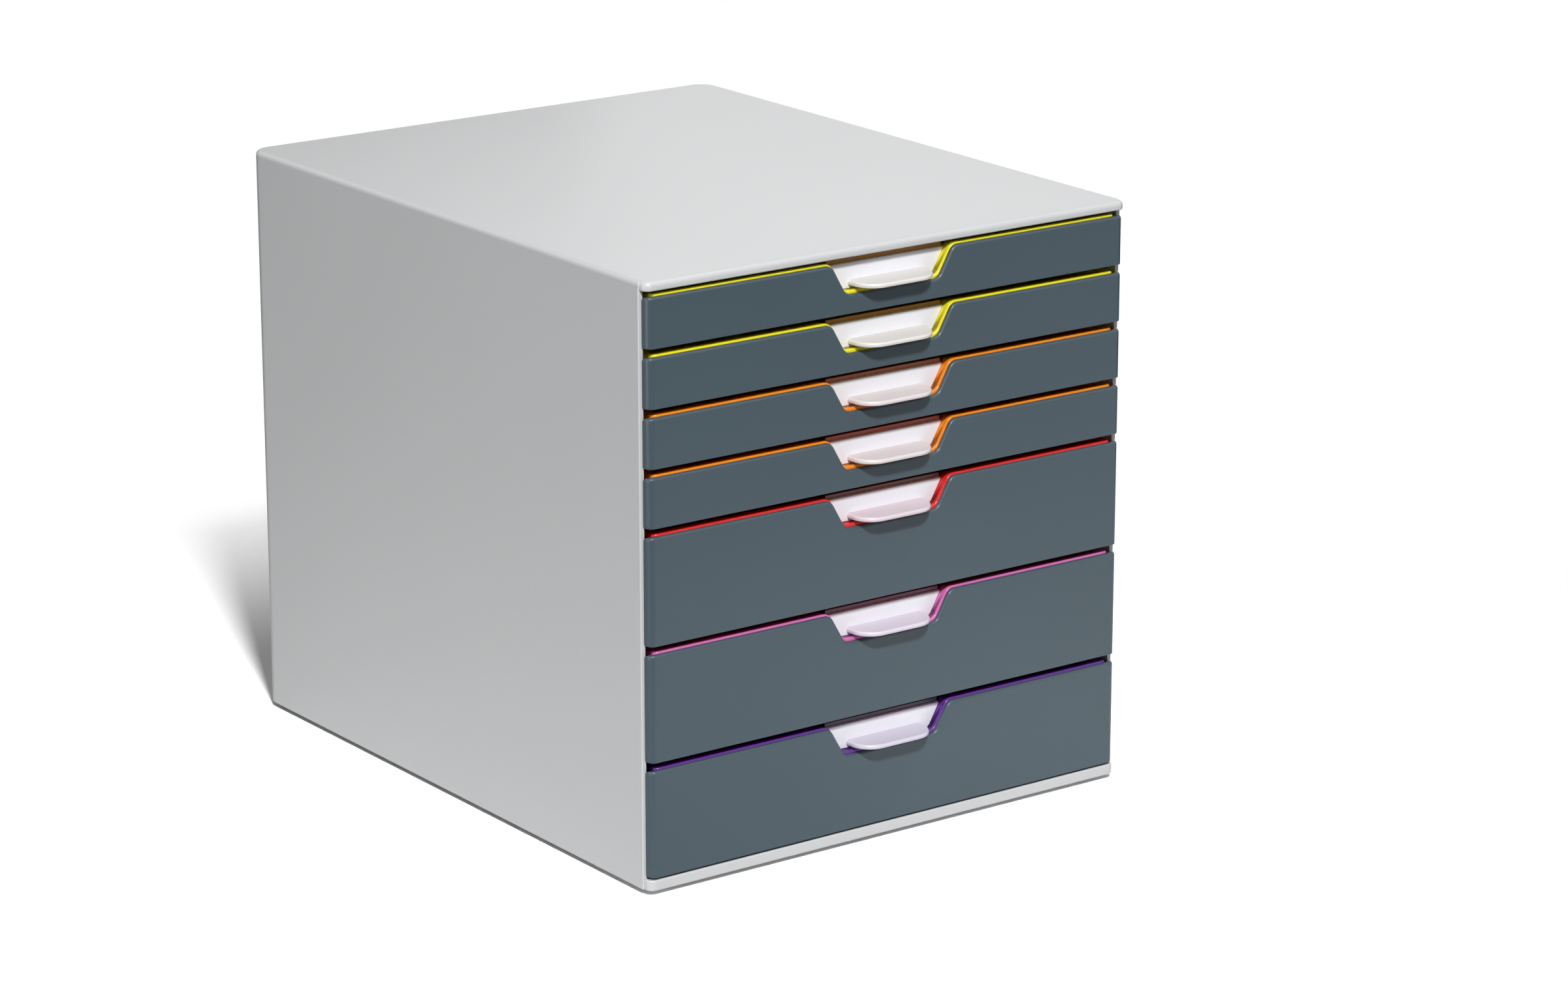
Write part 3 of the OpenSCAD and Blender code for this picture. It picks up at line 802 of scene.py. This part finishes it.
# to the camera the table turns into a plain white glow between 0.25 m and 0.58 m
fading = map_range(nodes, 0.25, 0.58, 0.0, 1.0)
fading.interpolation_type = "SMOOTHSTEP"
links.new(away.outputs["Value"], fading.inputs["Value"])
shown = nodes.new("ShaderNodeMixShader")
links.new(fading.outputs["Result"], shown.inputs["Fac"])
links.new(bright_top.outputs["BSDF"], shown.inputs[1])
links.new(white.outputs["Emission"], shown.inputs[2])
either = nodes.new("ShaderNodeMixShader")
links.new(seen.outputs["Is Camera Ray"], either.inputs["Fac"])
links.new(table_top.outputs["BSDF"], either.inputs[1])
links.new(shown.outputs["Shader"], either.inputs[2])
surface = nodes.new("ShaderNodeOutputMaterial")
links.new(either.outputs["Shader"], surface.inputs["Surface"])
studio_floor = studio_sheet("studio_floor", [(-TABLE_REACH, -TABLE_REACH, 0), (TABLE_REACH, -TABLE_REACH, 0),
                                             (TABLE_REACH, TABLE_REACH, 0), (-TABLE_REACH, TABLE_REACH, 0)],
                            paint)

grey = bpy.data.materials.new("studio_board")
grey.use_nodes = True
shader = grey.node_tree.nodes["Principled BSDF"]
shader.inputs["Base Color"].default_value = (0.2, 0.2, 0.2, 1.0)
shader.inputs["Emission Color"].default_value = (1.0, 1.0, 1.0, 1.0)
shader.inputs["Emission Strength"].default_value = 0.15
studio_board = studio_sheet("studio_board", [(BOARD_LEFT, BOARD_BACK, 0.0), (BOARD_RIGHT, BOARD_BACK, 0.0),
                                             (BOARD_RIGHT, BOARD_BACK, BOARD_HIGH),
                                             (BOARD_LEFT, BOARD_BACK, BOARD_HIGH)], grey)
for ray in ("camera", "diffuse", "shadow", "transmission"):
    setattr(studio_board, "visible_" + ray, False)

# the surround is plain white to the camera and in gloss, and only a dim light to all else
world = bpy.data.worlds.new("studio")
bpy.context.scene.world = world
world.use_nodes = True
nodes, links = world.node_tree.nodes, world.node_tree.links
nodes.clear()
seen = nodes.new("ShaderNodeLightPath")
level = nodes.new("ShaderNodeMath")
level.operation = "MAXIMUM"
level.inputs[1].default_value = SURROUND_LIGHT
total = nodes.new("ShaderNodeMath")
total.operation = "ADD"
links.new(seen.outputs["Is Camera Ray"], total.inputs[0])
mirrored = nodes.new("ShaderNodeMath")
mirrored.operation = "MAXIMUM"
links.new(seen.outputs["Is Glossy Ray"], mirrored.inputs[0])
links.new(seen.outputs["Is Transmission Ray"], mirrored.inputs[1])
links.new(mirrored.outputs[0], total.inputs[1])
links.new(total.outputs[0], level.inputs[0])
sky = nodes.new("ShaderNodeBackground")
links.new(level.outputs[0], sky.inputs["Strength"])
surround = nodes.new("ShaderNodeOutputWorld")
links.new(sky.outputs["Background"], surround.inputs["Surface"])

# name, bearing to the left of straight ahead and height above level in degrees, then the distance,
# width and strength of each lamp
for name, bearing, height, distance, width, power in (("key_lamp", 26.0, 43.5, 4.0, 0.42, 145.0),
                                                      ("soft_lamp", -40.0, 68.0, 1.6, 0.7, 3.4),
                                                      ("side_lamp", 84.0, -4.5, 1.3, 0.5, 4.6),
                                                      ("right_lamp", -42.0, -5.0, 0.75, 0.3, 0.12),
                                                      ("front_lamp", 12.0, 8.0, 2.2, 0.9, 0.6),
                                                      ("rear_lamp", -142.0, 16.0, 2.2, 0.8, 0.7)):
    lamp_data = bpy.data.lights.new(name, "AREA")
    lamp_data.shape = "DISK"
    lamp_data.size = width
    lamp_data.energy = power
    lamp = bpy.data.objects.new(name, lamp_data)
    turn, tilt = math.radians(bearing), math.radians(height)
    out = distance * math.cos(tilt)
    lamp.location = (-out * math.sin(turn), -out * math.cos(turn), LAMP_AIM + distance * math.sin(tilt))
    lamp.rotation_euler = (math.pi / 2 - tilt, 0.0, -turn)
    lamp.visible_camera = False
    bpy.context.collection.objects.link(lamp)
bpy.context.scene.view_settings.view_transform = "Standard"
